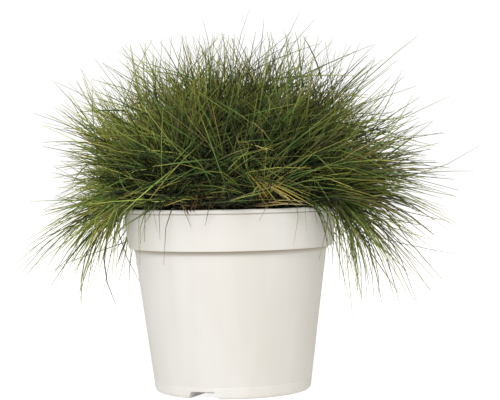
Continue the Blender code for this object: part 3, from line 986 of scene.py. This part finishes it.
chance = random.Random("hanging leaves")
rows = LeafRows()
hanging = [(rim, end, height / 1000, radius / 1000) for rim, end, height, radius in HANGING_LEAVES]
for count, middle, scatter, heights, radii in FRINGES:
    for _ in range(count):
        azimuth = middle + chance.gauss(0, scatter)
        turn = chance.gauss(0, 6)
        hanging.append((azimuth, azimuth + turn, chance.uniform(*heights), chance.uniform(*radii)))
for number, (rim_azimuth, tip_azimuth, height, radius) in enumerate(hanging):
    root = around_pot(rim_azimuth, HANGING_ROOT_RADIUS, CROWN_HEIGHT)
    bend = around_pot(rim_azimuth, max(HANGING_BEND_RADIUS, radius * 0.94), HANGING_BEND_HEIGHT)
    tip = around_pot(tip_azimuth, radius, height)
    tone = chance.choices(LIVE_TONES, (30, 2, 14, 12, 42, 0))[0]
    thickness = chance.uniform(*(HANGING_THICKNESS if number < len(HANGING_LEAVES) else FRINGE_THICKNESS))
    rows.grow(root, bend, tip, thickness, LEAF_END, tone_column(chance, tone), may_hang=True)
leaf_piece("hanging_leaves", rows, ())


# Yellowing leaves. At the front of the crown an aged shoot has turned yellow: its leaves fan out and
# have fallen forward to the right, over straw blades that lie along the rim. Beside it stand pale
# stems and the brown stubs of old sheaths.
# Each row: how many leaves, their tones, thickest of them, and the places of foot and tip in mm with
# the scatter of each place
YELLOWING = (
    (16, ("aged", "yellow", "yellow", "straw"), 0.0009, (9, -54, 121), 4, (36, -60.5, 107.5), 6),
    (16, ("aged", "yellow", "yellow"), 0.0009, (17, -54, 110), 2, (22, -60, 126), 11),
    (5, ("rust",), 0.0016, (18, -54, 108), 2, (19, -57, 121), 3),
    (4, ("straw",), 0.0009, (17, -57, 105.2), 2, (38, -57.5, 105.6), 3),
    (12, ("sheath", "yellow"), 0.0014, (-3, -52, 104), 3, (-2, -54, 124), 3),
    (44, ("rust", "sheath", "sheath", "painted_shade_thatch"), 0.0008, (-13, -55, 105), 8, (-12, -56, 111), 9),
    (10, ("rust", "painted_shade_thatch"), 0.0012, (14, -54, 104), 6, (16, -56, 109), 5),
)
YELLOWING_SAG = 0.0030
YELLOWING_FINEST = 0.0006


def near(chance, place, scatter):
    """A random place near another, both given in mm."""
    apart = Vector((chance.gauss(0, scatter), chance.gauss(0, scatter / 3), chance.gauss(0, scatter / 2)))
    return (Vector(place) + apart) / 1000


chance = random.Random("yellowing leaves")
rows = LeafRows()
for count, tones, thickest, foot, foot_scatter, head, head_scatter in YELLOWING:
    for _ in range(count):
        start = near(chance, foot, foot_scatter)
        end = near(chance, head, head_scatter)
        start.z = max(start.z, CROWN_HEIGHT + RIM_CLEARANCE)
        end.z = max(end.z, POT_HEIGHT + 2 * RIM_CLEARANCE)
        bend = start.lerp(end, 0.5) + Vector((0, 0, chance.uniform(0, YELLOWING_SAG)))
        thickness = chance.uniform(YELLOWING_FINEST, thickest)
        rows.grow(start, bend, end, thickness, LEAF_END, tone_column(chance, chance.choice(tones)))
leaf_piece("yellowing_leaves", rows, ())


# Dead leaves. Old leaves die to straw and drop between the crown and the pot's wall, where they
# lie in pinches round the edge of the medium.
STRAW_WISPS = ((-100, 0.030), (-58, 0.036), (-18, 0.028))
STRAW_RADIUS = 0.0504
for number, (azimuth, length) in enumerate(STRAW_WISPS, start=1):
    chance = random.Random(f"straw {number}")
    rows = LeafRows()
    for _ in range(14):
        turn = math.radians(azimuth + chance.gauss(0, 4))
        lie = length * chance.uniform(0.6, 1.1) / 2
        middle = Vector((STRAW_RADIUS * math.cos(turn), STRAW_RADIUS * math.sin(turn), 0))
        across = Vector((-math.sin(turn), math.cos(turn), 0))
        outward = middle.normalized()
        start = middle - across * lie + outward * chance.uniform(-0.003, 0.002)
        tip = middle + across * lie + outward * chance.uniform(-0.003, 0.002)
        start.z = MEDIUM_TOP + chance.uniform(0.0006, 0.002)
        tip.z = MEDIUM_TOP + chance.uniform(0.0006, 0.005)
        bend = middle + outward * lie * lie / STRAW_RADIUS
        bend.z = MEDIUM_TOP + chance.uniform(0.001, 0.005)
        rows.grow(start, bend, tip, chance.uniform(*LEAF_THICKNESS), 0.3, tone_column(chance, "straw"))
    leaf_piece(f"dead_leaves_{number}", rows, [f"straw_wisp_{number}"])


# Studio: a plain pale floor, a soft light above the camera's left shoulder, and pale walls that
# light the pot from all sides. The camera stands a little above the pot's rim, at 0.9 m.
FLOOR_SIZE = 6.0
CAMERA_DISTANCE = 0.900
CAMERA_HEIGHT = 0.1299
CAMERA_YAW = 0.01266
CAMERA_PITCH = -0.02622
CAMERA_ROLL = -0.01883
CAMERA_LENS = 115.1
FLOOR_WHITE = "#F4F4F4"
FLOOR_GLOW = 0.16
FLOOR_GLOW_SEEN = 0.82

floor_mesh = bpy.data.meshes.new("floor")
half = FLOOR_SIZE / 2
floor_mesh.from_pydata([(-half, -half, 0), (half, -half, 0), (half, half, 0), (-half, half, 0)], [], [(0, 1, 2, 3)])
floor = bpy.data.objects.new("floor", floor_mesh)
bpy.context.scene.collection.objects.link(floor)
matt, tree, shader = new_material("matt_white_board", 0.9)
shader.inputs["Base Color"].default_value = linear(FLOOR_WHITE)
shader.inputs["Emission Color"].default_value = linear(FLOOR_WHITE)
seen = add(tree, "ShaderNodeLightPath").outputs["Is Camera Ray"]
glow = add(tree, "ShaderNodeMapRange", {"Value": seen, "To Min": FLOOR_GLOW, "To Max": FLOOR_GLOW_SEEN})
tree.links.new(glow.outputs[0], shader.inputs["Emission Strength"])
floor_mesh.materials.append(matt)

world = bpy.data.worlds.new("studio")
bpy.context.scene.world = world
world.use_nodes = True
tree = world.node_tree
WALL_LIGHT = (1.05, 1.05, 1.05, 1.0)
LEFT_LIGHT = (0.40, 0.40, 0.40, 1.0)
RIGHT_LIGHT = (0.50, 0.47, 0.40, 1.0)
way = add(tree, "ShaderNodeSeparateXYZ", {0: add(tree, "ShaderNodeTexCoord").outputs["Generated"]})
warmth = add(tree, "ShaderNodeMapRange", {"Value": way.outputs[0], "From Min": -0.6, "From Max": 0.6})
room = add(tree, "ShaderNodeMix", {0: warmth.outputs[0], 6: LEFT_LIGHT, 7: RIGHT_LIGHT}, data_type="RGBA")
rise = add(tree, "ShaderNodeMath", {0: way.outputs[2]}, operation="ABSOLUTE")
fade = add(tree, "ShaderNodeMapRange", {"Value": rise.outputs[0], "From Min": 0.12, "From Max": 0.22})
sky = add(tree, "ShaderNodeMix", {0: fade.outputs[0], 6: WALL_LIGHT, 7: room.outputs[2]}, data_type="RGBA")
tree.links.new(sky.outputs[2], tree.nodes["Background"].inputs["Color"])


def soft_light(name, place, aim, size, power, colour):
    """A square soft light that points at a place."""
    lamp = bpy.data.lights.new(name, "AREA")
    lamp.size = size
    lamp.energy = power
    lamp.color = colour
    made = bpy.data.objects.new(name, lamp)
    made.location = place
    made.rotation_euler = (Vector(aim) - Vector(place)).to_track_quat("-Z", "Y").to_euler()
    bpy.context.scene.collection.objects.link(made)


soft_light("key", (-0.34, -1.28, 1.08), (0, 0, 0.12), 0.55, 14.0, (1.0, 1.0, 1.0))

lens = bpy.data.cameras.new("camera")
lens.lens = CAMERA_LENS
lens.sensor_width = 36
camera = bpy.data.objects.new("camera", lens)
bpy.context.scene.collection.objects.link(camera)
forward = Vector(
    (
        math.sin(CAMERA_YAW) * math.cos(CAMERA_PITCH),
        math.cos(CAMERA_YAW) * math.cos(CAMERA_PITCH),
        math.sin(CAMERA_PITCH),
    )
)
level = Vector((math.cos(CAMERA_YAW), -math.sin(CAMERA_YAW), 0))
above = level.cross(forward)
rightward = math.cos(CAMERA_ROLL) * level + math.sin(CAMERA_ROLL) * above
upward = -math.sin(CAMERA_ROLL) * level + math.cos(CAMERA_ROLL) * above
camera.matrix_world = Matrix.Translation((0, -CAMERA_DISTANCE, CAMERA_HEIGHT)) @ Matrix(
    (
        (rightward.x, upward.x, -forward.x, 0),
        (rightward.y, upward.y, -forward.y, 0),
        (rightward.z, upward.z, -forward.z, 0),
        (0, 0, 0, 1),
    )
)
bpy.context.scene.camera = camera
bpy.context.scene.view_settings.view_transform = "Standard"
